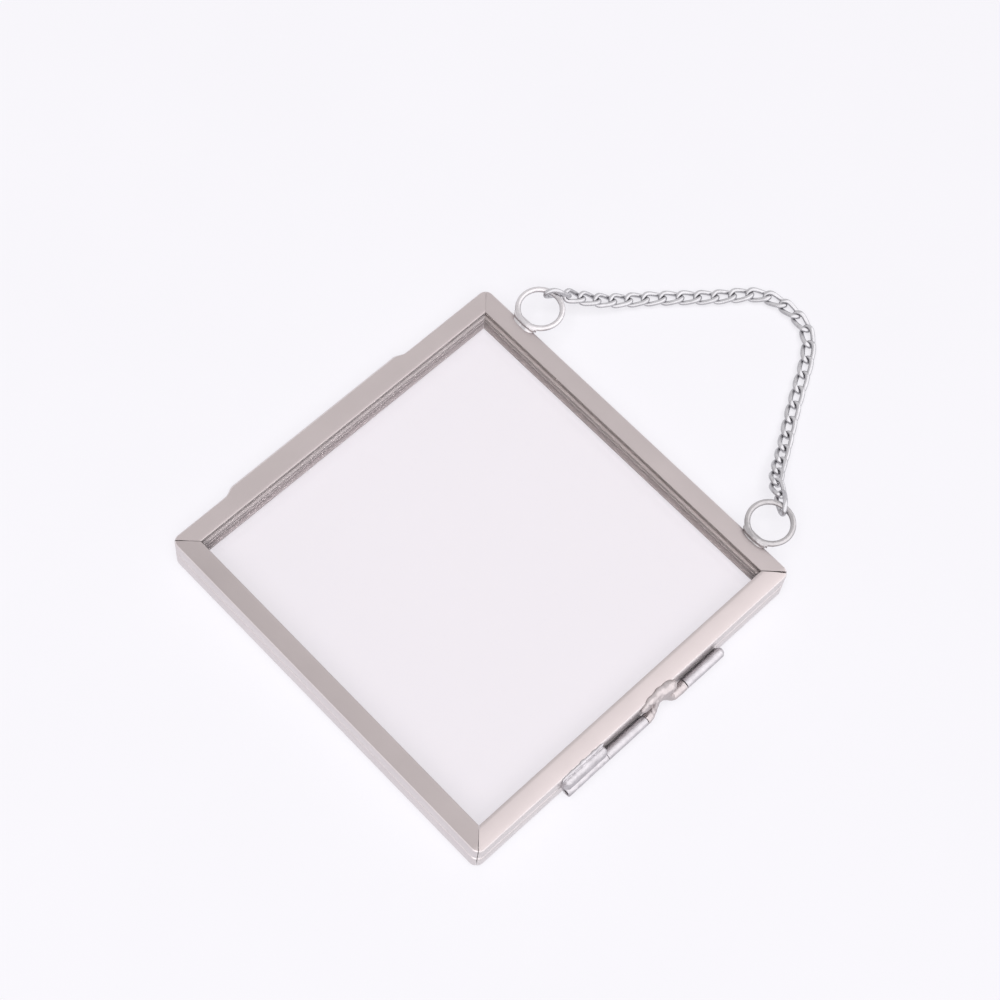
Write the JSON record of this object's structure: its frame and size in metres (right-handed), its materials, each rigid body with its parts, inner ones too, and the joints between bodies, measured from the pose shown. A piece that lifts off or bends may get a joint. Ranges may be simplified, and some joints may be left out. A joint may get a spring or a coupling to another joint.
{
  "type": "hinged glass picture frame",
  "caption": "Small hinged floating picture frame: two glass panes in thin mitred metal channel rails, side hinge, snap lip, two rings and a curb chain.",
  "frame": {"origin": "middle of the bottom rail's back face, on the plane that the closed frame lies on", "axes": "+X to the right along the edge that carries the rings, +Y up the frame towards the rings, +Z out of the front"},
  "size_m": [0.104, 0.1544, 0.0133],
  "materials": {
    "frame_metal": "satin, pewter tone, lightly uneven",
    "hinge_metal": "bright satin, soldered",
    "ring_metal": "bright satin, soldered",
    "chain_metal": "bright plated",
    "glass": "clear, polished"
  },
  "bodies": {
    "rear_frame": {"rear_rail_bottom": "frame_metal", "rear_rail_right": "frame_metal", "rear_rail_top": "frame_metal", "rear_rail_left": "frame_metal", "rear_glass_pane": "glass", "rear_catch_bead": "frame_metal", "rear_hinge_knuckle_middle": "hinge_metal", "rear_hinge_knuckle_upper": "hinge_metal"},
    "front_frame": {"front_rail_bottom": "frame_metal", "front_rail_right": "frame_metal", "front_rail_top": "frame_metal", "front_rail_left": "frame_metal", "front_glass_pane": "glass", "front_hinge_knuckle_lower": "hinge_metal", "front_hinge_knuckle_crimped": "hinge_metal", "hinge_pin_lower": "hinge_metal", "hinge_pin_upper": "hinge_metal", "hanging_ring_left": "ring_metal", "hanging_ring_right": "ring_metal"},
    "chain": {"chain_link_01": "chain_metal", "chain_link_02": "chain_metal", "chain_link_03": "chain_metal", "chain_link_04": "chain_metal", "chain_link_05": "chain_metal", "chain_link_06": "chain_metal", "chain_link_07": "chain_metal", "chain_link_08": "chain_metal", "chain_link_09": "chain_metal", "chain_link_10": "chain_metal", "chain_link_11": "chain_metal", "chain_link_12": "chain_metal", "chain_link_13": "chain_metal", "chain_link_14": "chain_metal", "chain_link_15": "chain_metal", "chain_link_16": "chain_metal", "chain_link_17": "chain_metal", "chain_link_18": "chain_metal", "chain_link_19": "chain_metal", "chain_link_20": "chain_metal", "chain_link_21": "chain_metal", "chain_link_22": "chain_metal", "chain_link_23": "chain_metal", "chain_link_24": "chain_metal", "chain_link_25": "chain_metal", "chain_link_26": "chain_metal", "chain_link_27": "chain_metal", "chain_link_28": "chain_metal", "chain_link_29": "chain_metal"}
  },
  "joints": [
    {"name": "front_frame_hinge", "type": "hinge", "parent": "rear_frame", "child": "front_frame", "pos_m": [0.0516, 0.0476, 0.0051], "axis": [0, 1, 0], "range_deg": [0, 180]},
    {"name": "chain_swing", "type": "hinge", "parent": "front_frame", "child": "chain", "pos_m": [0, 0.10592, 0.011], "axis": [1, 0, 0], "range_deg": [-90, 180]}
  ]
}
